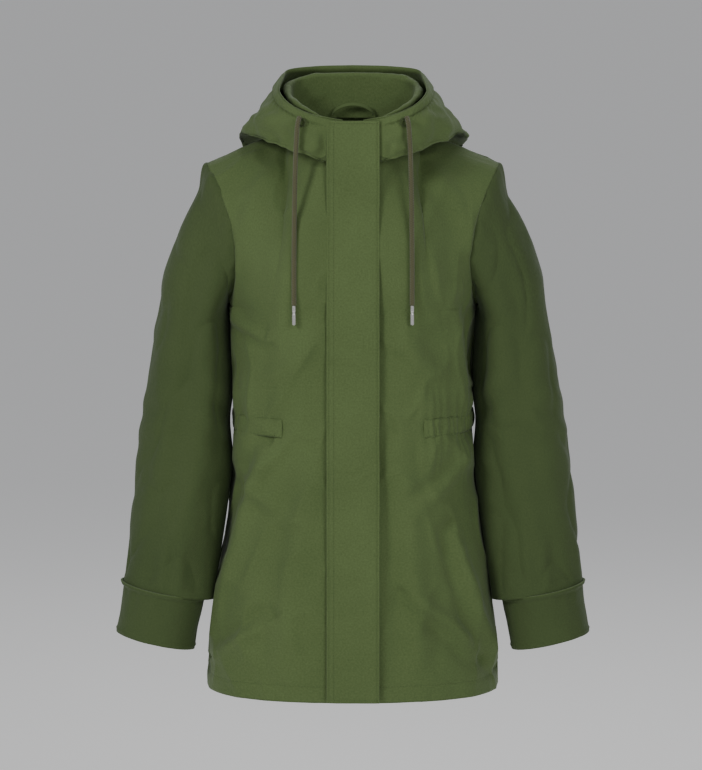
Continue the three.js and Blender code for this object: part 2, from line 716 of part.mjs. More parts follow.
// A loop of tape at the back of the neck
const loop = fromNeck([
  V(-26, 37, 41), V(-25, 33, 45), V(-15, 30, 52), V(0, 29, 55),
  V(15, 30, 52), V(25, 33, 45), V(26, 37, 41),
]);
const tapeSection = new THREE.Shape([
  new THREE.Vector2(-0.6, -3), new THREE.Vector2(0.6, -3),
  new THREE.Vector2(0.6, 3), new THREE.Vector2(-0.6, 3),
]);
const hanger = new THREE.Mesh(
  new THREE.ExtrudeGeometry(tapeSection, { steps: 18, bevelEnabled: false, extrudePath: loop }),
  cloth(OLIVE_DARK),
);
hanger.name = 'hanger_loop';
jacket.add(hanger);

export default jacket;
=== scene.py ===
import math

import bpy
import numpy as np
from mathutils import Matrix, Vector, noise


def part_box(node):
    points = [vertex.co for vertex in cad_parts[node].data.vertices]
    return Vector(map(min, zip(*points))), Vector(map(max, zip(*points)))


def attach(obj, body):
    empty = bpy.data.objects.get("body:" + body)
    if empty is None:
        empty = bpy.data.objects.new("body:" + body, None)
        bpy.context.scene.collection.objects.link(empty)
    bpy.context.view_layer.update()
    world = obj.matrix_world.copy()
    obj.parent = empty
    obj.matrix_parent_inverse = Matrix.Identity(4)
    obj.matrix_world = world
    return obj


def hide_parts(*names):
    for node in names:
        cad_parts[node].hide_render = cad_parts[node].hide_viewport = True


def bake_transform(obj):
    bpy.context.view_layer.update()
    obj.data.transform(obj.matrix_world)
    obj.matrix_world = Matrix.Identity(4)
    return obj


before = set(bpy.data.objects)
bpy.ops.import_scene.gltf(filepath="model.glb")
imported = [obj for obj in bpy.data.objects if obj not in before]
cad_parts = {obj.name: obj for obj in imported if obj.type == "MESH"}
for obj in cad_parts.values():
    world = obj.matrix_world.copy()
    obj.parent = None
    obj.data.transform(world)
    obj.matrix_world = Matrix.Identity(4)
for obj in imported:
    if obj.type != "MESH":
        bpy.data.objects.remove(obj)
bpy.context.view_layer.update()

MM = 0.001
DROP = 700.0  # the frame's origin lies this far above the hem's lowest point, in mm

# Sizes in mm, the same as the CAD's: half widths, depths from the middle, and heights above the hem
UNDERARM, WAIST, TIP_Z, NECK_Z = 500.0, 350.0, 681.0, 726.0
HEM_W, WAIST_W, CHEST_W = 190.0, 154.0, 158.0
HEM_F, NECK_F = 150.0, 112.0
HEM_B, WAIST_B, CHEST_B = 132.0, 112.0, 122.0
NECK_W, NECK_B = 82.0, 46.0
POWER = 2.4
SLOT = 7.0
BUST = 13.0
LEAN = math.radians(9.6)
ARM_DEPTH, ARM_BOW = 70.0, 20.0
SLEEVE_OUT, SLEEVE_IN, SLEEVE_Z = 297.0, 194.0, 127.0
ELBOW_OUT = 276.0
CUFF_D, CUFF_H, PITCH = 46.0, 62.0, 34.0
SLEEVE_TOP_OUT = 250.0
BUST_X, BUST_Z, BUST_WIDE, BUST_TALL = 84, 520, 34, 130
FLAP_HALF, FLAP_LENGTH = 34, 744
CASING_HALF, CASING_START = 12, 88

# Sizes in mm that only the cloth you see has
THICKNESS = 1.8
HEM_STITCHES = 21.5
SPLIT = 0.68


# ---- camera, stage and light ---------------------------------------------------------------

CAMERA_DISTANCE = 6.0
CAMERA_ELEVATION = math.radians(7.0)
AIM = Vector((-0.0026, -0.14, -0.291))
FRAME_HEIGHT = 0.978
FLOOR_RADIUS = 90.0
FLOOR_HEIGHT = -1.1


def make_camera():
    data = bpy.data.cameras.new("view")
    camera = bpy.data.objects.new("view", data)
    bpy.context.scene.collection.objects.link(camera)
    back = Vector((0, -math.cos(CAMERA_ELEVATION), math.sin(CAMERA_ELEVATION)))
    camera.location = AIM + back * CAMERA_DISTANCE
    camera.rotation_euler = (math.pi / 2 - CAMERA_ELEVATION, 0, 0)
    data.sensor_width = 36
    data.lens = 36 * CAMERA_DISTANCE / FRAME_HEIGHT
    data.clip_end = 200
    bpy.context.scene.camera = camera


def area_light(name, at, size, power, colour=(1, 1, 1)):
    data = bpy.data.lights.new(name, "AREA")
    data.shape = "RECTANGLE"
    data.size, data.size_y = size
    data.energy = power
    data.color = colour
    light = bpy.data.objects.new(name, data)
    bpy.context.scene.collection.objects.link(light)
    light.location = at
    light.rotation_euler = (AIM - Vector(at)).to_track_quat("-Z", "Y").to_euler()


def make_stage():
    mesh = bpy.data.meshes.new("studio")
    turns = np.linspace(0, 2 * math.pi, 64, endpoint=False)
    rim = [(FLOOR_RADIUS * math.cos(a), FLOOR_RADIUS * math.sin(a), FLOOR_HEIGHT) for a in turns]
    mesh.from_pydata(rim, [], [tuple(range(len(rim)))])
    floor = bpy.data.objects.new("studio", mesh)
    bpy.context.scene.collection.objects.link(floor)
    material = bpy.data.materials.new("studio")
    material.use_nodes = True
    shader = material.node_tree.nodes["Principled BSDF"]
    shader.inputs["Base Color"].default_value = (0.86, 0.855, 0.84, 1)
    shader.inputs["Emission Color"].default_value = (1, 0.99, 0.97, 1)
    shader.inputs["Emission Strength"].default_value = 0.2
    shader.inputs["Roughness"].default_value = 0.9
    mesh.materials.append(material)
    area_light("key", (-1.9, -2.1, 1.15), (0.8, 0.8), 38)
    area_light("fill", (1.6, -2.6, 0.95), (1.3, 1.3), 27)
    area_light("top", (0.2, -0.6, 2.6), (2.2, 1.6), 10)
    area_light("back", (0.5, 2.2, 1.6), (2.2, 1.4), 22)
    world = bpy.data.worlds.new("studio")
    world.use_nodes = True
    world.node_tree.nodes["Background"].inputs["Color"].default_value = (0.9, 0.93, 1, 1)
    world.node_tree.nodes["Background"].inputs["Strength"].default_value = 0.26
    bpy.context.scene.world = world


# ---- drawcords ------------------------------------------------------------------------------

CORD_ROUTE = [
    (68, -118.6, 748), (70, -124.5, 740), (71.5, -127, 722), (73, -127, 690),
    (74, -127.5, 650), (74.5, -129.5, 605), (75, -133.2, 560), (75, -133.6, 522),
    (75, -133.4, 510),
]
CORD_DIAMETER = 6.0


def at(p):
    return Vector((p[0] * MM, p[1] * MM, (p[2] - DROP) * MM))


def make_cord(word, side):
    data = bpy.data.curves.new(f"cord_{word}", "CURVE")
    data.dimensions = "3D"
    data.bevel_depth = CORD_DIAMETER / 2 * MM
    data.bevel_resolution = 5
    data.resolution_u = 8
    data.use_fill_caps = True
    spline = data.splines.new("BEZIER")
    spline.bezier_points.add(len(CORD_ROUTE) - 1)
    for point, (x, y, z) in zip(spline.bezier_points, CORD_ROUTE):
        point.co = at((side * x, y, z))
        point.handle_left_type = point.handle_right_type = "AUTO"
    piece = bpy.data.objects.new(f"cord_{word}", data)
    bpy.context.scene.collection.objects.link(piece)
    return piece


make_camera()
make_stage()
cords = {word: make_cord(word, side) for word, side in (("left", 1), ("right", -1))}


# ---- materials ------------------------------------------------------------------------------

def node(tree, kind, **settings):
    made = tree.nodes.new(kind)
    for key, value in settings.items():
        setattr(made, key, value)
    return made


def fabric(name, light, dark, roughness=0.8, sheen=0.1, weave=1400.0, depth=0.5):
    """Fine twill: diagonal ribs, a slub in the yarn, uneven dye and a soft sheen."""
    material = bpy.data.materials.new(name)
    material.use_nodes = True
    tree = material.node_tree
    link = tree.links.new
    shader = tree.nodes["Principled BSDF"]
    where = node(tree, "ShaderNodeTexCoord")
    patch = node(tree, "ShaderNodeTexNoise")
    patch.inputs["Scale"].default_value = 9
    patch.inputs["Detail"].default_value = 5
    link(where.outputs["Object"], patch.inputs["Vector"])
    slub = node(tree, "ShaderNodeTexNoise")
    slub.inputs["Scale"].default_value = 420
    slub.inputs["Detail"].default_value = 2
    link(where.outputs["UV"], slub.inputs["Vector"])
    tone = node(tree, "ShaderNodeValToRGB")
    tone.color_ramp.elements[0].position = 0.3
    tone.color_ramp.elements[1].position = 0.72
    tone.color_ramp.elements[0].color = (*dark, 1)
    tone.color_ramp.elements[1].color = (*light, 1)
    both = node(tree, "ShaderNodeMath", operation="MULTIPLY_ADD")
    both.inputs[1].default_value = 0.62
    link(slub.outputs["Fac"], both.inputs[0])
    part = node(tree, "ShaderNodeMath", operation="MULTIPLY")
    part.inputs[1].default_value = 0.42
    link(patch.outputs["Fac"], part.inputs[0])
    link(part.outputs["Value"], both.inputs[2])
    link(both.outputs["Value"], tone.inputs["Fac"])
    link(tone.outputs["Color"], shader.inputs["Base Color"])
    shader.inputs["Roughness"].default_value = roughness
    shader.inputs["Sheen Weight"].default_value = sheen
    shader.inputs["Sheen Roughness"].default_value = 0.45
    shader.inputs["Specular IOR Level"].default_value = 0.24
    twill = node(tree, "ShaderNodeTexWave", wave_type="BANDS", bands_direction="DIAGONAL")
    twill.inputs["Scale"].default_value = weave / 6
    twill.inputs["Distortion"].default_value = 1.5
    twill.inputs["Detail"].default_value = 1
    link(where.outputs["UV"], twill.inputs["Vector"])
    height = node(tree, "ShaderNodeMath", operation="MULTIPLY_ADD")
    height.inputs[1].default_value = 0.5
    link(twill.outputs["Fac"], height.inputs[0])
    link(slub.outputs["Fac"], height.inputs[2])
    fine = node(tree, "ShaderNodeBump")
    fine.inputs["Strength"].default_value = depth
    fine.inputs["Distance"].default_value = 0.0004
    link(height.outputs["Value"], fine.inputs["Height"])
    rumple = node(tree, "ShaderNodeTexNoise")
    rumple.inputs["Scale"].default_value = 55
    rumple.inputs["Detail"].default_value = 3
    link(where.outputs["Object"], rumple.inputs["Vector"])
    soft = node(tree, "ShaderNodeBump")
    soft.inputs["Strength"].default_value = 0.5
    soft.inputs["Distance"].default_value = 0.0026
    link(rumple.outputs["Fac"], soft.inputs["Height"])
    link(fine.outputs["Normal"], soft.inputs["Normal"])
    link(soft.outputs["Normal"], shader.inputs["Normal"])
    return material


def braid(name, light, dark):
    """Round braided cord: crossing diagonal strands, with painted shade in the grooves between them."""
    material = bpy.data.materials.new(name)
    material.use_nodes = True
    tree = material.node_tree
    link = tree.links.new
    shader = tree.nodes["Principled BSDF"]
    where = node(tree, "ShaderNodeTexCoord")
    waves = []
    for turn in (0.9, -0.9):
        place = node(tree, "ShaderNodeMapping")
        place.inputs["Rotation"].default_value = (0, turn, 0)
        wave = node(tree, "ShaderNodeTexWave", wave_type="BANDS", bands_direction="X")
        wave.inputs["Scale"].default_value = 130
        wave.inputs["Distortion"].default_value = 0.6
        link(where.outputs["Object"], place.inputs["Vector"])
        link(place.outputs["Vector"], wave.inputs["Vector"])
        waves.append(wave)
    cross = node(tree, "ShaderNodeMath", operation="MAXIMUM")
    link(waves[0].outputs["Fac"], cross.inputs[0])
    link(waves[1].outputs["Fac"], cross.inputs[1])
    # painted shade: the colour darkens where the strands dip, from the same height that drives the bump
    tone = node(tree, "ShaderNodeValToRGB")
    tone.color_ramp.elements[0].color = (*dark, 1)
    tone.color_ramp.elements[1].color = (*light, 1)
    link(cross.outputs["Value"], tone.inputs["Fac"])
    link(tone.outputs["Color"], shader.inputs["Base Color"])
    bump = node(tree, "ShaderNodeBump")
    bump.inputs["Strength"].default_value = 0.8
    bump.inputs["Distance"].default_value = 0.0008
    link(cross.outputs["Value"], bump.inputs["Height"])
    link(bump.outputs["Normal"], shader.inputs["Normal"])
    shader.inputs["Roughness"].default_value = 0.8
    shader.inputs["Sheen Weight"].default_value = 0.3
    return material


def metal(name, colour, roughness):
    """Bright plated metal with fine scratches and dulled patches."""
    material = bpy.data.materials.new(name)
    material.use_nodes = True
    tree = material.node_tree
    link = tree.links.new
    shader = tree.nodes["Principled BSDF"]
    where = node(tree, "ShaderNodeTexCoord")
    scratch = node(tree, "ShaderNodeTexNoise")
    scratch.inputs["Scale"].default_value = 700
    scratch.inputs["Detail"].default_value = 4
    link(where.outputs["Object"], scratch.inputs["Vector"])
    spread = node(tree, "ShaderNodeMapRange")
    spread.inputs["To Min"].default_value = roughness * 0.7
    spread.inputs["To Max"].default_value = roughness * 1.5
    link(scratch.outputs["Fac"], spread.inputs["Value"])
    link(spread.outputs["Result"], shader.inputs["Roughness"])
    shader.inputs["Base Color"].default_value = (*colour, 1)
    shader.inputs["Metallic"].default_value = 1
    bump = node(tree, "ShaderNodeBump")
    bump.inputs["Strength"].default_value = 0.12
    bump.inputs["Distance"].default_value = 0.0002
    link(scratch.outputs["Fac"], bump.inputs["Height"])
    link(bump.outputs["Normal"], shader.inputs["Normal"])
    return material


CLOTH = fabric("olive_twill", (0.110, 0.160, 0.054), (0.070, 0.106, 0.033))
TRIM = fabric("olive_trim", (0.100, 0.147, 0.048), (0.072, 0.109, 0.034))
# painted shade: the inside faces of the cloth pieces get this darker copy of the olive twill, about 0.6
# of its colour, for the shadow inside the shell
INSIDE_SHADE = fabric("olive_inside_painted_shade", (0.066, 0.098, 0.032), (0.048, 0.073, 0.023))
THREAD = fabric("olive_thread", (0.060, 0.088, 0.028), (0.046, 0.068, 0.022), 0.6, 0.05)
TAPE = fabric("zip_tape", (0.05, 0.062, 0.028), (0.034, 0.044, 0.018), 0.85, 0.1, 2600)
CORD = braid("braided_cord", (0.094, 0.092, 0.034), (0.042, 0.042, 0.015))
METAL = metal("bright_metal", (0.72, 0.71, 0.68), 0.24)


# ---- cloth meshes ---------------------------------------------------------------------------

def grid_normals(points, closed):
    along = np.gradient(points, axis=0)
    if closed:
        across = (np.roll(points, -1, axis=1) - np.roll(points, 1, axis=1)) / 2
    else:
        across = np.gradient(points, axis=1)
    n = np.cross(across, along)
    return n / np.maximum(np.linalg.norm(n, axis=2, keepdims=True), 1e-9)


def measured_uv(points):
    """Lengths along the cloth in metres, so the weave keeps its real size."""
    step_u = np.linalg.norm(np.diff(points, axis=1), axis=2).mean(axis=0) * MM
    step_v = np.linalg.norm(np.diff(points, axis=0), axis=2).mean(axis=1) * MM
    u = np.concatenate([[0], np.cumsum(step_u)])
    v = np.concatenate([[0], np.cumsum(step_v)])
    return u, v


def cloth(name, points, material, thickness=1.6, closed=False, flip=1, inner=None):
    """A sheet with real thickness; points is rows x columns x 3 in mm, its outer face."""
    rows, cols = points.shape[:2]
    normals = grid_normals(points, closed) * flip
    stacked = np.concatenate([
        points.reshape(-1, 3), (points - normals * thickness).reshape(-1, 3)])
    stacked = stacked * MM
    stacked[:, 2] -= DROP * MM
    size = rows * cols
    faces = []
    outer = []
    wide = cols if closed else cols - 1
    for i in range(rows - 1):
        for j in range(wide):
            k = (j + 1) % cols
            a, b, c, d = i * cols + j, i * cols + k, (i + 1) * cols + k, (i + 1) * cols + j
            faces.append((a, b, c, d) if flip > 0 else (d, c, b, a))
            outer.append(0)
            faces.append(tuple(size + q for q in ((d, c, b, a) if flip > 0 else (a, b, c, d))))
            outer.append(1)
    for i, turn in ((0, 1), (rows - 1, -1)):
        for j in range(wide):
            k = (j + 1) % cols
            a, b = i * cols + j, i * cols + k
            quad = (a, size + a, size + b, b)
            faces.append(quad if turn * flip > 0 else quad[::-1])
            outer.append(0)
    if not closed:
        for j, turn in ((0, -1), (cols - 1, 1)):
            for i in range(rows - 1):
                a, b = i * cols + j, (i + 1) * cols + j
                quad = (a, size + a, size + b, b)
                faces.append(quad if turn * flip > 0 else quad[::-1])
                outer.append(0)
    mesh = bpy.data.meshes.new(name)
    mesh.from_pydata(stacked.tolist(), [], faces)
    u, v = measured_uv(points)
    layer = mesh.uv_layers.new(name="cloth")
    flat = np.empty((len(mesh.loops), 2), dtype=np.float32)
    index = np.empty(len(mesh.loops), dtype=np.int32)
    mesh.loops.foreach_get("vertex_index", index)
    index %= size
    columns = index % cols
    columns = np.minimum(columns, len(u) - 1)
    flat[:, 0] = u[columns]
    flat[:, 1] = v[index // cols]
    layer.data.foreach_set("uv", flat.ravel())
    mesh.materials.append(material)
    # the inside faces take the second material, the darker copy that paints shade inside the shell
    if inner:
        mesh.materials.append(inner)
        mesh.polygons.foreach_set("material_index", outer)
    mesh.polygons.foreach_set("use_smooth", [True] * len(faces))
    piece = bpy.data.objects.new(name, mesh)
    bpy.context.scene.collection.objects.link(piece)
    return piece


class Stitching:
    """Rows of short raised stitches, gathered into one mesh."""

    def __init__(self):
        self.verts = []
        self.faces = []

    def row(self, line, up, pitch=3.8, length=2.5, width=0.8, height=0.45):
        line = np.asarray(line, dtype=float)
        up = np.asarray(up, dtype=float)
        run = np.concatenate([[0], np.cumsum(np.linalg.norm(np.diff(line, axis=0), axis=1))])
        for s in np.arange(pitch / 2, run[-1] - length, pitch):
            ends = []
            for t in (s, s + length):
                ends.append(np.array([np.interp(t, run, line[:, k]) for k in range(3)]))
            n = np.array([np.interp(s, run, up[:, k]) for k in range(3)])
            n /= max(np.linalg.norm(n), 1e-9)
            d = ends[1] - ends[0]
            d /= max(np.linalg.norm(d), 1e-9)
            side = np.cross(d, n)
            base = len(self.verts)
            middle = (ends[0] + ends[1]) / 2
            for p, lift in ((ends[0], 0.0), (middle, 1.0), (ends[1], 0.0)):
                for w, h in ((-1, 0.0), (0, 1.0), (1, 0.0)):
                    q = p + side * w * width / 2 + n * (height * (0.35 + 0.65 * lift) * h - 0.12)
                    self.verts.append(q)
            for i in (0, 1):
                for j in (0, 1):
                    a = base + 3 * i + j
                    self.faces.append((a, a + 1, a + 4, a + 3))
            self.faces.append((base, base + 2, base + 1))
            self.faces.append((base + 6, base + 7, base + 8))

    def on(self, points, normals, rows, cols, **options):
        """A row over a grid, along fractional row and column indices."""
        line = [sample(points, r, c) for r, c in zip(rows, cols)]
        up = [sample(normals, r, c) for r, c in zip(rows, cols)]
        self.row(line, up, **options)

    def piece(self, name):
        stacked = np.array(self.verts) * MM
        stacked[:, 2] -= DROP * MM
        mesh = bpy.data.meshes.new(name)
        mesh.from_pydata(stacked.tolist(), [], self.faces)
        mesh.uv_layers.new(name="cloth")
        mesh.materials.append(THREAD)
        mesh.polygons.foreach_set("use_smooth", [True] * len(self.faces))
        piece = bpy.data.objects.new(name, mesh)
        bpy.context.scene.collection.objects.link(piece)
        return piece

    def make(self, name, body):
        piece = self.piece(name)
        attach(piece, body)


def sample(field, r, c):
    rows, cols = field.shape[:2]
    r = min(max(r, 0), rows - 1)
    c = min(max(c, 0), cols - 1)
    i, j = min(int(r), rows - 2), min(int(c), cols - 2)
    a, b = r - i, c - j
    low = field[i, j] * (1 - b) + field[i, j + 1] * b
    high = field[i + 1, j] * (1 - b) + field[i + 1, j + 1] * b
    return low * (1 - a) + high * a


# ---- folds ----------------------------------------------------------------------------------

def smooth(x, a, b):
    t = min(max((x - a) / (b - a), 0.0), 1.0)
    return t * t * (3 - 2 * t)


def ruck(x, y, z, seed=0.0, lean=0.0):
    """Cloth noise: broad hanging folds, then smaller dents, all longer than they are wide."""
    a = x + lean * z
    broad = noise.noise(Vector((a / 70, y / 70, z / 230 + seed)))
    middle = noise.noise(Vector((a / 30 + 7, y / 30, z / 60 + seed)))
    small = noise.noise(Vector((a / 13 + 3, y / 13, z / 19 + seed)))
    sharp = 1 - abs(noise.noise(Vector((a / 46 + 11, y / 46, z / 88 + seed)))) * 2
    return 4.6 * broad + 1.6 * middle + 0.4 * small + 3.0 * max(0.0, sharp) ** 3


def crease(x, z, line, width, high):
    """A ridge with a valley beside it, along a line of (x, z) points on the cloth."""
    best = 0.0
    nearest = 1e9
    for (x0, z0), (x1, z1) in zip(line, line[1:]):
        dx, dz = x1 - x0, z1 - z0
        size = dx * dx + dz * dz
        t = min(max(((x - x0) * dx + (z - z0) * dz) / size, 0.0), 1.0)
        ex, ez = x - x0 - t * dx, z - z0 - t * dz
        far = math.hypot(ex, ez)
        if far < nearest:
            nearest = far
            best = math.copysign(far, ex * dz - ez * dx)
    if nearest > 4 * width:
        return 0.0
    ridge = math.exp(-((best / width) ** 2))
    valley = math.exp(-(((best - 1.9 * width) / (1.1 * width)) ** 2))
    ends = min(math.hypot(x - line[0][0], z - line[0][1]),
               math.hypot(x - line[-1][0], z - line[-1][1]))
    return high * (ridge - 0.6 * valley) * min(1.0, 0.25 + ends / (3.5 * width))


FOLD_STRENGTH = 1.7

# Folds that the front shows: points (x, z) in mm, width and height
FRONT_FOLDS = [
    ([(-108, 318), (-138, 240), (-150, 185), (-166, 140), (-181, 95), (-184, 50)], 9, 5.5),
    ([(-112, 98), (-140, 78), (-172, 50)], 8, 4.5),
    ([(-152, 486), (-134, 474), (-114, 464)], 6, 3.0),
    ([(-150, 300), (-120, 262), (-84, 236)], 9, 2.6),
    ([(-52, 300), (-70, 210), (-82, 120), (-84, 40)], 15, 3.4),
    ([(133, 210), (138, 180), (158, 112), (188, 40)], 8, 5.0),
    ([(80, 134), (126, 98), (158, 62)], 9, 4.6),
    ([(142, 512), (150, 455), (158, 392)], 8, -4.0),
    ([(60, 316), (76, 214), (86, 110), (84, 30)], 15, 3.4),
    ([(150, 318), (120, 276), (88, 250)], 9, 3.0),
    ([(-62, 640), (-90, 560), (-104, 500)], 16, 3.0),
    ([(66, 640), (96, 570), (112, 500)], 16, 3.0),
    ([(-88, 690), (-128, 640), (-146, 590)], 10, 2.6),
    ([(92, 690), (132, 640), (150, 585)], 10, 2.6),
    ([(-48, 470), (-80, 430), (-128, 404)], 12, 2.2),
    ([(52, 480), (84, 436), (130, 408)], 12, 2.4),
]
BACK_FOLDS = [
    ([(-120, 620), (-60, 575), (0, 560), (60, 575), (120, 620)], 14, 3.0),
    ([(-140, 480), (-80, 420), (-40, 380)], 12, 3.0),
    ([(140, 480), (80, 420), (40, 380)], 12, 3.0),
    ([(-60, 310), (-76, 200), (-90, 60)], 14, 4.0),
    ([(50, 310), (62, 190), (80, 50)], 14, 4.0),
    ([(-150, 290), (-140, 180), (-150, 60)], 12, 4.0),
    ([(140, 300), (146, 190), (150, 70)], 12, 4.0),
    ([(0, 300), (-6, 180), (6, 40)], 12, 3.0),
]


def gather(x, y, z, front):
    """The waist casing's pinch, and the cloth that it gathers above and below."""
    if front and abs(x) < 78:
        return 0.0
    part = smooth(abs(x), 78, 96) if front else 1.0
    off = (z - WAIST) / 12
    around = x * 0.9 + y * 0.9
    reach = math.exp(-abs(z - WAIST) / 34)
    pleat = math.sin(around / 2.7 + 1.3 * math.sin(around / 9)) * 1.5 * reach
    puff = 4.5 * math.exp(-((abs(z - WAIST) - 34) / 22) ** 2)
    pinch = -2.2 * math.exp(-off * off)
    return part * (pleat * (0.35 + 0.65 * min(1, abs(off) / 1.2)) + puff + pinch)


def body_fold(p, side, front):
    x, y, z = p
    d = ruck(x, y, z, 2.0 if front else 9.0, 0.08 * side)
    for line, width, high in (FRONT_FOLDS if front else BACK_FOLDS):
        d += crease(x, z, line, width, FOLD_STRENGTH * high)
    d += gather(x, y, z, front)
    if front:
        d *= smooth(abs(x), 8, 44)  # the zip edges stay flat beneath the flap
    hem = smooth(z, 2, 26)
    d *= 0.45 + 0.55 * hem
    d -= 0.9 * math.exp(-(((z - 21) / 1.6) ** 2))  # the hem's stitching pulls in
    if z > UNDERARM:
        d *= 0.75
    return d


# ---- body -----------------------------------------------------------------------------------

def ease(x, x0, x1, a, b):
    return a + (b - a) * smooth(x, x0, x1)


def half_width(z):
    if z > WAIST:
        return ease(z, WAIST, UNDERARM, WAIST_W, CHEST_W)
    return ease(z, 0, WAIST, HEM_W, WAIST_W)


def front_line(z):
    return HEM_F + (NECK_F - HEM_F) * z / DROP


def back_line(z):
    if z > WAIST:
        return ease(z, WAIST, UNDERARM, WAIST_B, CHEST_B)
    return ease(z, 0, WAIST, HEM_B, WAIST_B)


def body_ring(front, u, z):
    a = half_width(z)
    start = SLOT if front else 0.0
    x = start + (a - start) * max(0.0, math.sin(u * math.pi / 2)) ** (2 / POWER)
    b = front_line(z) if front else back_line(z)
    y = b * max(0.0, 1 - min(1.0, x / a) ** POWER) ** (1 / POWER)
    return np.array((x, -y if front else y, z))


def armhole(turn):
    tall = (TIP_Z - UNDERARM) / math.cos(LEAN)
    up = tall * (1 - math.cos(turn)) / 2
    x = CHEST_W + up * math.sin(LEAN) - ARM_BOW * math.sin(turn) ** 2
    return np.array((x, -ARM_DEPTH * math.sin(turn), UNDERARM + up * math.cos(LEAN)))


def top_edge(front, u):
    neck = 0.42
    if u > neck:
        t = (u - neck) / (1 - neck)
        return np.array((NECK_W, 6.0, NECK_Z)) * (1 - t) + armhole(math.pi) * t
    turn = (u / neck) * math.pi / 2
    c, s = max(0.0, math.cos(turn)), math.sin(turn)
    if not front:
        return np.array((NECK_W * s, 6 + (NECK_B - 6) * c, NECK_Z + 2 * c))
    return np.array((SLOT + (NECK_W - SLOT) * s, 6 - (6 + NECK_F) * c,
                     NECK_Z - (NECK_Z - DROP) * c ** 0.8))


def yoke(front, u, v):
    edge = armhole(v * math.pi if front else -v * math.pi)
    p = body_ring(front, u, UNDERARM) * (1 - v) + top_edge(front, u) * v
    centre = body_ring(front, 0, UNDERARM) * (1 - v) + top_edge(front, 0) * v
    p = p + centre * (1 - u) + edge * u
    p = p - body_ring(front, 0, UNDERARM) * (1 - u) * (1 - v)
    p = p - body_ring(front, 1, UNDERARM) * u * (1 - v)
    p = p - top_edge(front, 0) * (1 - u) * v - top_edge(front, 1) * u * v
    puff = math.sin(math.pi * v) * math.sin(math.pi * min(1, u * 1.1)) ** 2
    p[1] += (-14 if front else 24) * puff
    return p


def body_point(front, side, u, v):
    if v < SPLIT:
        p = body_ring(front, u, UNDERARM * v / SPLIT)
    else:
        p = yoke(front, u, min(1.0, (v - SPLIT) / (1 - SPLIT)))
    if front:
        across = math.exp(-(((p[0] - BUST_X) / BUST_WIDE) ** 2))
        p[1] -= BUST * across * math.exp(-(((p[2] - BUST_Z) / BUST_TALL) ** 2))
    p[0] *= side
    return p


def arm_room(z):
    """How far past the body's width the inside of an arm lies: more over the waist casing."""
    return 1.8 + 5.0 * math.exp(-(((z - WAIST) / 18) ** 2))


def flat_sides(points):
    """Keeps the folds at the sides from reaching out into the arms."""
    for p in points.reshape(-1, 3):
        if p[2] < UNDERARM:
            limit = half_width(max(0.0, p[2])) + 0.8
            p[0] = min(max(p[0], -limit), limit)
    return points


def sampled(point, us, vs):
    return np.array([[point(u, v) for u in us] for v in vs])


def pushed(points, flip, depth, closed=False):
    """Moves each point out along the surface by depth(point, row share, column share)."""
    normals = grid_normals(points, closed) * flip
    rows, cols = points.shape[:2]
    moved = points.copy()
    for i in range(rows):
        for j in range(cols):
            d = depth(points[i, j], i / (rows - 1), j / (cols - 1))
            moved[i, j] += normals[i, j] * d
    return moved


DETAIL = 1.0


def count(n):
    return max(6, int(n * DETAIL))


stitches = Stitching()


def make_front(word, side):
    us = np.linspace(0, 1, count(72))
    vs = np.concatenate([np.linspace(0, SPLIT, count(170))[:-1], np.linspace(SPLIT, 1, count(80))])
    base = sampled(lambda u, v: body_point(True, side, u, v), us, vs)

    def depth(p, v, u):
        d = body_fold(p, side, True)
        return d * (1 if v < 0.97 else 0.4) * (0.4 + 0.6 * smooth(1 - u, 0, 0.05))

    points = flat_sides(pushed(base, side, depth))
    piece = cloth(f"front_{word}_cloth", points, CLOTH, THICKNESS, flip=side, inner=INSIDE_SHADE)
    normals = grid_normals(points, False) * side
    level = int(np.argmin(abs(base[:, 0, 2] - HEM_STITCHES)))
    line = np.arange(2, len(us) - 1, 0.5)
    stitches.on(points, normals, [level] * len(line), line)
    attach(piece, "torso")
    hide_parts(f"front_panel_{word}", f"hem_{word}")


def make_back():
    us = np.linspace(-1, 1, count(140))
    vs = np.concatenate([np.linspace(0, SPLIT, count(160))[:-1], np.linspace(SPLIT, 1, count(70))])
    base = sampled(lambda u, v: body_point(False, 1 if u >= 0 else -1, abs(u), v), us, vs)

    def depth(p, v, u):
        d = body_fold(p, 1, False)
        edge = min(u, 1 - u)
        return d * (1 if v < 0.97 else 0.4) * (0.4 + 0.6 * smooth(edge, 0, 0.025))

    points = flat_sides(pushed(base, -1, depth))
    piece = cloth("back_cloth", points, CLOTH, THICKNESS, flip=-1, inner=INSIDE_SHADE)
    normals = grid_normals(points, False) * -1
    level = int(np.argmin(abs(base[:, len(us) // 2, 2] - HEM_STITCHES)))
    line = np.arange(1, len(us) - 2, 0.5)
    stitches.on(points, normals, [level] * len(line), line)
    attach(piece, "torso")
    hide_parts("back_panel", "hem_back")


# ---- waist casing ---------------------------------------------------------------------------

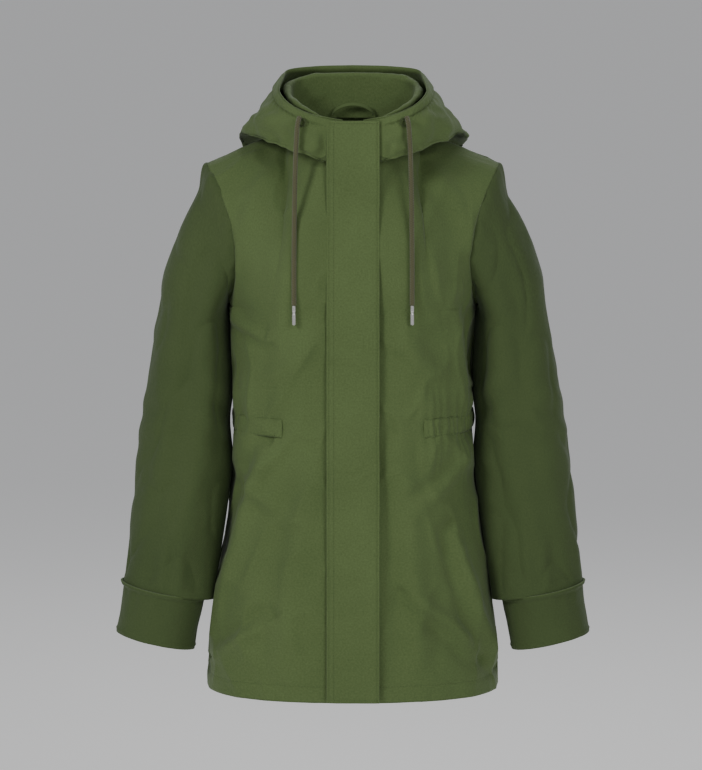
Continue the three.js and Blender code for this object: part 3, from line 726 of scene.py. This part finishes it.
def make_casing(name, front, side, u0, u1, nodes):
    us = np.linspace(u0, u1, count(200))
    zs = np.linspace(WAIST - CASING_HALF, WAIST + CASING_HALF, 15)

    def point(u, z):
        s = side or (1 if u >= 0 else -1)
        return body_point(front, s, abs(u), SPLIT * z / UNDERARM)

    flip = side if front else -1
    base = sampled(point, us, zs)

    def depth(p, v, u):
        x, y, z = p
        around = x * 0.9 + y * 0.9
        round_ = math.sin(math.pi * min(max(v, 0.0), 1.0)) ** 0.5
        pucker = math.sin(around / 2.3 + 1.5 * math.sin(around / 7 + v * 2)) * 0.9
        wave = 1.4 * noise.noise(Vector((x / 16, y / 16, z / 12)))
        sag = body_fold(p, side or 1, front) * 0.35
        end = 1.0
        if front:
            end = smooth(u, 0, 0.05)
        return 0.7 + sag + end * round_ * (2.1 + wave + pucker)

    points = pushed(base, flip, depth)
    piece = cloth(name, points, CLOTH, 2.4, flip=flip)
    normals = grid_normals(points, False) * flip
    for row in (1.2, 12.8):
        line = np.arange(1, len(us) - 2, 0.5)
        stitches.on(points, normals, [row] * len(line), line, height=0.3)
    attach(piece, "torso")
    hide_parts(*nodes)


# ---- sleeves --------------------------------------------------------------------------------

def stations():
    tip = armhole(math.pi)
    root = np.array((CHEST_W + 2.4, 0.0, UNDERARM - 1))
    rows = [(*(root + (-6, 0, 1)), *(tip + (-7, 0, -1.5)), ARM_DEPTH - 2.5, 0.0, ARM_BOW)]
    fan = 6
    for i in range(fan + 1):
        t = i / fan
        turn = LEAN + (math.pi / 2 - LEAN) * t ** 1.5
        tall = tip[2] - root[2]
        radius = 86 + (tall - 86) * max(0.0, 1 - t * 1.02) ** 2.1 + 2
        inner = root + np.array((0, 0, -3.0 * i))
        outer = root + np.array((radius * math.sin(turn), 0, radius * math.cos(turn)))
        rows.append((*inner, *outer, ARM_DEPTH - 2 * t, 0.0, ARM_BOW * (1 - t) ** 2))
    steps = 8
    bulge = 4 * ELBOW_OUT - 2 * SLEEVE_TOP_OUT - 2 * SLEEVE_OUT
    for i in range(1, steps + 1):
        t = i / steps
        z = UNDERARM - 18 + (SLEEVE_Z - UNDERARM + 18) * t
        inner = (half_width(z) + arm_room(z), 0.0, z - 9 * t)
        out = SLEEVE_TOP_OUT + (SLEEVE_OUT - SLEEVE_TOP_OUT) * t + bulge * t * (1 - t)
        outer = (out, 0.0, z + 11 * t + 16 * (1 - t))
        depth = ease(t, 0, 1, ARM_DEPTH - 2, CUFF_D + 8)
        rows.append((*inner, *outer, depth, PITCH * t ** 1.6, 0.0))
    return np.array(rows)


def spread(rows, n):
    """Resamples the stations evenly along the sleeve's outer side, smoothly."""
    run = np.linalg.norm(np.diff((rows[:, :3] + rows[:, 3:6]) / 2, axis=0), axis=1)
    run = np.concatenate([[0], np.cumsum(run + 6)])
    run /= run[-1]
    ts = np.linspace(0, 1, n)
    made = np.empty((n, rows.shape[1]))
    for k in range(rows.shape[1]):
        slope = np.gradient(rows[:, k], run)
        for q, t in enumerate(ts):
            i = min(int(np.searchsorted(run, t, side="right")) - 1, len(run) - 2)
            h = run[i + 1] - run[i]
            a = (t - run[i]) / h
            made[q, k] = ((2 * a ** 3 - 3 * a * a + 1) * rows[i, k]
                          + (a ** 3 - 2 * a * a + a) * h * slope[i]
                          + (3 * a * a - 2 * a ** 3) * rows[i + 1, k]
                          + (a ** 3 - a * a) * h * slope[i + 1])
    return made


def ring_points(rows, side, around):
    turns = np.linspace(0, 2 * math.pi, around, endpoint=False)
    grid = np.empty((len(rows), around, 3))
    for i, row in enumerate(rows):
        inner, outer, depth, forward, bow = row[:3], row[3:6], row[6], row[7], row[8]
        middle, reach = (inner + outer) / 2, (outer - inner) / 2
        for j, turn in enumerate(turns):
            p = middle - reach * math.cos(turn)
            p[0] -= bow * math.sin(turn) ** 2
            p[1] = -depth * math.sin(turn) - forward
            p[0] *= side
            grid[i, j] = p
    return grid


def bend(angle, centre):
    return (angle - centre + math.pi) % (2 * math.pi) - math.pi


def sleeve_fold(p, v, turn, side):
    """Long folds down the arm, the pulls at the armhole and the rucks inside the elbow."""
    x, y, z = p
    seed = 21.0 if side > 0 else 33.0
    d = ruck(x, y, z, seed, 0.12 * side)
    front_fold = bend(turn, 1.5 + 0.5 * v + 0.12 * math.sin(v * 9))
    d += 5.6 * math.exp(-((front_fold / 0.26) ** 2)) * smooth(v, 0.03, 0.2) * (1 - 0.5 * v)
    valley = 5.4 * math.exp(-(((front_fold + 0.58) / 0.26) ** 2))
    d -= valley * smooth(v, 0.05, 0.25) * (1 - smooth(v, 0.5, 0.8))
    back_fold = bend(turn, 4.5 - 0.4 * v)
    d += 3.5 * math.exp(-((back_fold / 0.35) ** 2)) * smooth(v, 0.05, 0.3)
    near = math.exp(-((bend(turn, 0.9) / 1.1) ** 2))
    elbow = math.exp(-(((v - 0.52) / 0.12) ** 2))
    slant = v * 62 + turn * 2.2
    d += 3.2 * near * elbow * math.sin(slant) * (0.7 + 0.5 * math.sin(turn * 3))
    outside = math.exp(-((bend(turn, 2.5) / 0.9) ** 2))
    d += 1.5 * outside * math.exp(-(((v - 0.58) / 0.1) ** 2)) * math.sin(v * 75 - turn * 3)
    low = math.exp(-(((v - 0.93) / 0.06) ** 2))
    d += 1.3 * low * math.sin(turn * 9 + 2 * math.sin(turn * 4)) + 0.4 * low
    top = math.exp(-(v / 0.05) ** 2)
    d += 1.6 * top * max(0.0, -math.cos(turn)) + 0.6 * top * math.sin(turn * 24)
    beside = math.exp(-((bend(turn, 0) / 0.75) ** 2)) * smooth(v, 0.1, 0.25)
    d *= 1 - 0.9 * beside
    return d * (0.25 + 0.75 * smooth(v, 0, 0.03)) * smooth(1 - v, 0, 0.03)


def make_sleeve(word, side):
    rows = spread(stations(), count(190))
    around = count(112)
    base = ring_points(rows, side, around)
    points = pushed(base, side, lambda p, v, u: sleeve_fold(
        p, v, 2 * math.pi * u * (around - 1) / around, side), closed=True)
    # the inside of the arm stays clear of the body
    clear = np.array([half_width(max(0.0, z)) + arm_room(z) for z in points[:, :, 2].ravel()])
    flat = points.reshape(-1, 3)
    close = np.abs(flat[:, 1]) < 60
    limit = np.where(close & (flat[:, 2] < UNDERARM - 4), clear, 0)
    flat[:, 0] = side * np.maximum(side * flat[:, 0], limit)
    points = flat.reshape(points.shape)
    piece = cloth(f"sleeve_{word}_cloth", points, CLOTH, THICKNESS, closed=True, flip=side, inner=INSIDE_SHADE)
    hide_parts(f"sleeve_{word}")
    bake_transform(piece)


def make_cuff(word, side, arm):
    rows = []
    for i in range(count(30)):
        t = i / (count(30) - 1)
        down = CUFF_H * t - 5 * (1 - t) ** 6
        outer = (SLEEVE_OUT - 1 + 9 * t, 0, SLEEVE_Z + 10 - down)
        inner = (SLEEVE_IN + 1 + 14 * t, 0, SLEEVE_Z - 10 - down - 2 * t)
        rows.append((*inner, *outer, CUFF_D + 7 * (1 - t) ** 2 + 1, PITCH + 4 * t, 0.0))
    around = count(112)
    base = ring_points(np.array(rows), side, around)

    def depth(p, v, u):
        x, y, z = p
        turn = 2 * math.pi * u
        d = 0.6 * noise.noise(Vector((x / 16, y / 16, z / 22)))
        d += 1.4 * noise.noise(Vector((x / 40, y / 40, z / 60)))
        d -= 1.0 * math.exp(-(((v - 0.93) / 0.025) ** 2))
        d += 0.8 * math.sin(turn * 11 + 3 * math.sin(3 * turn)) * math.exp(-v / 0.3)
        tuck = 1 - smooth(v, 0.02, 0.06)
        return (d + 1.0 * math.sin(math.pi * v)) * (1 - tuck) - 3.4 * tuck

    points = pushed(base, side, depth, closed=True)
    piece = cloth(f"cuff_{word}_cloth", points, CLOTH, 2.6, closed=True, flip=side, inner=INSIDE_SHADE)
    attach(piece, arm)
    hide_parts(f"cuff_{word}")
    normals = grid_normals(points, True) * side
    sewn = Stitching()
    line = np.arange(0, around - 1, 0.5)
    last = points.shape[0] - 1
    for row in (last * 0.93, last * 0.06):
        sewn.on(points, normals, [row] * len(line), line)
    sewn.make(f"cuff_{word}_stitches", arm)


# ---- hood -----------------------------------------------------------------------------------

def catmull(points, ts):
    """Centripetal Catmull-Rom through points, each span an equal share of the parameter."""
    p = [np.asarray(q, dtype=float) for q in points]
    p = [2 * p[0] - p[1]] + p + [2 * p[-1] - p[-2]]
    spans = len(points) - 1
    made = []
    for t in ts:
        i = min(int(t * spans), spans - 1)
        w = t * spans - i
        p0, p1, p2, p3 = p[i:i + 4]
        d0 = max(np.linalg.norm(p1 - p0) ** 0.5, 1e-4)
        d1 = max(np.linalg.norm(p2 - p1) ** 0.5, 1e-4)
        d2 = max(np.linalg.norm(p3 - p2) ** 0.5, 1e-4)
        m1 = ((p1 - p0) / d0 - (p2 - p0) / (d0 + d1) + (p2 - p1) / d1) * d1
        m2 = ((p2 - p1) / d1 - (p3 - p1) / (d1 + d2) + (p3 - p2) / d2) * d1
        made.append((2 * w ** 3 - 3 * w * w + 1) * p1 + (w ** 3 - 2 * w * w + w) * m1
                    + (3 * w * w - 2 * w ** 3) * p2 + (w ** 3 - w * w) * m2)
    return np.array(made)


RIM = [(13, -113.5, 742), (44, -115, 748), (78, -100, 761), (95, -60, 776),
       (91, 0, 792), (84, 38, 799), (50, 60, 802), (0, 66, 803)]
BULGE = [(13, -114, 719), (38, -116, 722), (60, -122, 727), (88, -104, 737), (114, -62, 744),
         (128, 4, 742), (122, 74, 738), (70, 122, 730), (0, 136, 726)]
FOLD = [(14, -114.5, 700), (38, -116.5, 692), (54, -122, 697), (84, -107, 708), (121, -64, 716),
        (146, 0, 720), (142, 84, 694), (88, 148, 634), (0, 168, 606)]
UNDER = [(14, -113.5, 702), (37, -113.5, 699), (72, -94, 711), (100, -54, 722),
         (112, 2, 728), (108, 76, 712), (66, 132, 656), (0, 152, 634)]
SEAM = [(14, -112, 704), (36, -107, 705), (62, -84, 712), (83, -44, 723),
        (90, 6, 734), (80, 36, 735), (44, 54, 736), (0, 60, 736)]


def hood_grid(cols, rows):
    """Half of the hood, from its front end to the centre back, rim to neck seam."""
    ws = np.linspace(0, 1, cols)
    lines = [catmull(line, ws) for line in (RIM, BULGE, FOLD, UNDER, SEAM)]
    ts = np.linspace(0, 1, rows)
    grid = np.empty((rows, cols, 3))
    for j in range(cols):
        grid[:, j] = catmull([line[j] for line in lines], ts)
    return grid


def hood_fold(p, v, w, side):
    """The lying hood's crumples: deep at the neck seam, diagonal over the shoulders."""
    x, y, z = p
    seed = 5.0 if side > 0 else 12.0
    d = 5.2 * noise.noise(Vector((x / 40, y / 40 + seed, z / 26)))
    d += 2.4 * noise.noise(Vector((x / 17, y / 17 + seed, z / 13)))
    d += 0.4 * noise.noise(Vector((x / 7, y / 7 + seed, z / 7)))
    slope = x * side * 0.55 + z * 0.83
    d += 4.2 * math.exp(-(((v - 0.32) / 0.18) ** 2)) * math.sin(slope / 7.5 + 1.6 * math.sin(y / 31))
    d -= 2.4 * math.exp(-(((v - 0.47) / 0.05) ** 2)) * smooth(w, 0.04, 0.2)
    away = smooth(v, 0.0, 0.05)
    rim = math.exp(-(((v - 0.1) / 0.012) ** 2))
    band = smooth(v, 0.0, 0.02) * (1 - smooth(v, 0.08, 0.1))
    puckers = math.sin(w * 210 + 2.0 * math.sin(w * 57)) * 0.6
    under_flap = smooth(abs(x), 34, 52)
    d = d * smooth(v, 0.07, 0.22) * away * under_flap
    d += under_flap * (1.4 * band - 1.5 * rim + puckers * math.exp(-(((v - 0.1) / 0.06) ** 2)))
    return d * (1 - smooth(v, 0.6, 0.9))


def make_hood():
    cols, rows = count(150), count(120)
    half = hood_grid(cols, rows)
    left = half.copy()
    right = half.copy()
    right[:, :, 0] *= -1
    out = pushed(left, -1, lambda p, v, w: hood_fold(p, v, w, 1))
    out_r = pushed(right, 1, lambda p, v, w: hood_fold(p, v, w, -1))
    middle = (out[:, -1] + out_r[:, -1] * np.array((-1, 1, 1))) / 2
    out[:, -1] = middle * np.array((0, 1, 1))
    out_r[:, -1] = out[:, -1]
    whole = np.concatenate([out_r, out[:, ::-1][:, 1:]], axis=1)
    piece = cloth("hood_cloth", whole, CLOTH, THICKNESS, flip=1, inner=INSIDE_SHADE)
    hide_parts("hood_front_left", "hood_front_right", "hood_side_left", "hood_side_right",
                "hood_gusset", "hood_tunnel_left", "hood_tunnel_right", "hood_tunnel_back")
    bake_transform(piece)
    # the facing inside the rim, turned in over the cord tunnel
    normals = grid_normals(whole, False)
    depth_rows = int(rows * 0.13)
    inside = whole[1:depth_rows] - normals[1:depth_rows] * 3.2
    lip = whole[0:1] - normals[0:1] * 0.8
    lip[:, :, 2] += 1.4
    band = np.concatenate([lip, inside], axis=0)
    facing = cloth("hood_facing", band, TRIM, 1.2, flip=1, inner=TRIM)
    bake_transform(facing)
    sewn = Stitching()
    line = np.arange(3, whole.shape[1] - 3, 0.35)
    sewn.on(whole, normals, [rows * 0.1] * len(line), line)
    thread = sewn.piece("hood_stitches")
    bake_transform(thread)


def make_neck_rise():
    foot = [(14, -107, 707), (36, -98, 708), (58, -74, 714), (74, -36, 724),
            (78, 2, 733), (66, 28, 735), (36, 40, 736), (0, 44, 736)]
    head = [(15, -104, 742), (36, -95, 746), (62, -70, 757), (78, -34, 770),
            (78, 2, 780), (66, 26, 786), (36, 38, 790), (0, 40, 791)]
    cols = count(90)
    ws = np.linspace(0, 1, cols)
    low, high = catmull(foot, ws), catmull(head, ws)
    rows = []
    up = count(26)
    for i in range(up):
        t = i / (up - 1)
        rows.append(low * (1 - t) + high * t)
    half = np.array(rows)
    # the top turns outward in a soft roll towards the hood
    roll = count(14)
    outward = np.stack([high[:, 0], high[:, 1] + 20, np.zeros(cols)], axis=1)
    outward /= np.linalg.norm(outward, axis=1, keepdims=True)
    size = 5.0 * np.array([smooth(w, 0.1, 0.35) for w in ws])[:, None]
    curl = []
    for i in range(1, roll + 1):
        a = math.pi * 1.15 * i / roll
        rise = np.array((0, 0, 1)) * size * math.sin(a) * 0.9
        curl.append(high + outward * size * (1 - math.cos(a)) + rise)
    half = np.concatenate([half, np.array(curl)], axis=0)
    left, right = half.copy(), half.copy()
    right[:, :, 0] *= -1
    whole = np.concatenate([right, left[:, ::-1][:, 1:]], axis=1)

    def depth(p, v, u):
        x, y, z = p
        d = 2.0 * noise.noise(Vector((x / 26, y / 26, z / 22)))
        d += 0.8 * noise.noise(Vector((x / 9, y / 9, z / 12)))
        return d * smooth(v, 0.02, 0.3) * smooth(abs(x), 20, 50)

    points = pushed(whole, 1, depth)
    piece = cloth("neck_rise_cloth", points, CLOTH, 1.6, flip=1)
    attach(piece, "torso")
    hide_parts("neck_rise")


# ---- storm flap -----------------------------------------------------------------------------

TILT = math.atan((HEM_F - NECK_F) / DROP)


def front_place(x, out, z):
    """From the centre front's own axes, out being forwards, to the jacket's."""
    return np.array((x, -HEM_F - out * math.cos(TILT) + z * math.sin(TILT),
                     z * math.cos(TILT) + out * math.sin(TILT)))


def make_flap():
    xs = np.concatenate([[-34, -33.4], np.linspace(-32, 32, count(56)), [33.4, 34]])
    zs = np.linspace(1, FLAP_LENGTH, count(380))
    flat = np.empty((len(zs), len(xs), 3))
    for i, z in enumerate(zs):
        for j, x in enumerate(xs):
            edge = FLAP_HALF - abs(x)
            out = 9.0 - 1.1 * math.exp(-edge / 0.9)
            out -= 3.2 * (1 - smooth(x, -34, -20))
            d = 0.9 * noise.noise(Vector((x / 26, 3, z / 48)))
            d += 0.5 * noise.noise(Vector((x / 12, 8, z / 11)))
            d += 1.0 * noise.noise(Vector((x / 60, 1, z / 130)))
            d += 0.9 * math.exp(-(((z - 436) / 34) ** 2)) * math.sin(z / 4.6 + x / 16)
            d += 0.8 * math.exp(-(((z - 130) / 50) ** 2)) * math.sin(z / 6.5 - x / 19)
            d += crease(x, z, [(-30, 676), (-6, 660), (22, 645)], 4.0, 1.5)
            d += crease(x, z, [(28, 300), (4, 286), (-24, 290)], 3.5, 0.9)
            d -= 1.1 * math.exp(-(((edge - 3.2) / 1.0) ** 2))
            d -= 0.8 * math.exp(-(((edge - 9.5) / 1.0) ** 2)) * (1 if x < 0 else 0)
            d *= smooth(edge, 0, 2.5)
            wave = 0.9 * math.sin(z / 57.0) * smooth(x, 0, 34)
            flat[i, j] = front_place(x + 0.5 * noise.noise(Vector((5, 5, z / 40))) * smooth(x, 0, 34),
                                     min(out + d + wave, 12.0), z)
    piece = cloth("storm_flap_cloth", flat, CLOTH, 2.2, flip=1, inner=INSIDE_SHADE)
    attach(piece, "flap")
    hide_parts("storm_flap")
    normals = grid_normals(flat, False)
    sewn = Stitching()
    line = np.arange(2, len(zs) - 3, 0.7)
    for x in (-30.8, -24.5, 30.8):
        col = float(np.interp(x, xs, np.arange(len(xs))))
        sewn.on(flat, normals, line, [col] * len(line), pitch=3.2)
    cols = np.arange(2, len(xs) - 3, 0.5)
    for z in (4.5, 740.5):
        row = float(np.interp(z, zs, np.arange(len(zs))))
        sewn.on(flat, normals, [row] * len(cols), cols, pitch=3.2)
    sewn.make("flap_stitches", "flap")


# ---- small pieces ---------------------------------------------------------------------------

def make_eyelet(word, side):
    """A worked eyelet: thread wound over a ring, stitch beside stitch."""
    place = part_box(f"eyelet_{word}")
    low, high = np.array(place[0]), np.array(place[1])
    centre = (low + high) / 2
    normal = Vector((side * 0.32, -0.93, 0.18)).normalized()
    turn = normal.to_track_quat("Z", "Y").to_matrix()
    verts, faces = [], []
    wraps, sides = 44, 6
    for i in range(wraps):
        a0 = 2 * math.pi * i / wraps
        for k in range(sides + 1):
            lean = math.pi * k / sides
            for off in (-0.46, 0.0, 0.46):
                a = a0 + off * 2 * math.pi / wraps
                swell = 0.22 if off == 0 else 0.0
                r = 4.6 - (1.35 + swell) * math.cos(lean)
                h = (1.0 + swell) * math.sin(lean)
                p = Vector((r * math.cos(a), r * math.sin(a), h - 0.2)) * MM
                verts.append(tuple(turn @ p + Vector(centre)))
        base = i * (sides + 1) * 3
        for k in range(sides):
            for j in (0, 1):
                a = base + 3 * k + j
                faces.append((a, a + 1, a + 4, a + 3))
    mesh = bpy.data.meshes.new(f"eyelet_{word}_thread")
    mesh.from_pydata(verts, [], faces)
    mesh.uv_layers.new(name="cloth")
    mesh.materials.append(THREAD)
    mesh.polygons.foreach_set("use_smooth", [True] * len(faces))
    piece = bpy.data.objects.new(mesh.name, mesh)
    bpy.context.scene.collection.objects.link(piece)
    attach(piece, "torso")
    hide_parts(f"eyelet_{word}")


def finish_cord(word):
    piece = cords[word]
    piece.data.materials.append(CORD)
    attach(piece, "torso")
    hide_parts(f"drawcord_{word}")


METAL_NODES = ("aglet", "zip_teeth", "zip_top", "zip_bottom", "zip_slider", "zip_pull", "snap_")


def dress_nodes():
    """Better materials on the CAD pieces that stay."""
    for name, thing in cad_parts.items():
        if name.startswith(METAL_NODES):
            made = METAL
        elif name.startswith("zip_tape"):
            made = TAPE
        else:
            made = TRIM
        for slot in thing.material_slots:
            slot.material = made


make_front("left", 1)
make_front("right", -1)
make_back()
casing_start = math.asin((CASING_START / WAIST_W) ** (POWER / 2)) * 2 / math.pi
make_casing("casing_left_cloth", True, 1, casing_start, 1, ["waist_casing_left"])
make_casing("casing_right_cloth", True, -1, casing_start, 1, ["waist_casing_right"])
make_casing("casing_back_cloth", False, 0, -1, 1, ["waist_casing_back"])
for label, hand in (("left", 1), ("right", -1)):
    make_sleeve(label, hand)
    make_cuff(label, hand, f"arm_{label}")
make_hood()
make_neck_rise()
make_flap()
for label, hand in (("left", 1), ("right", -1)):
    make_eyelet(label, hand)
    finish_cord(label)
stitches.make("body_stitches", "torso")
dress_nodes()
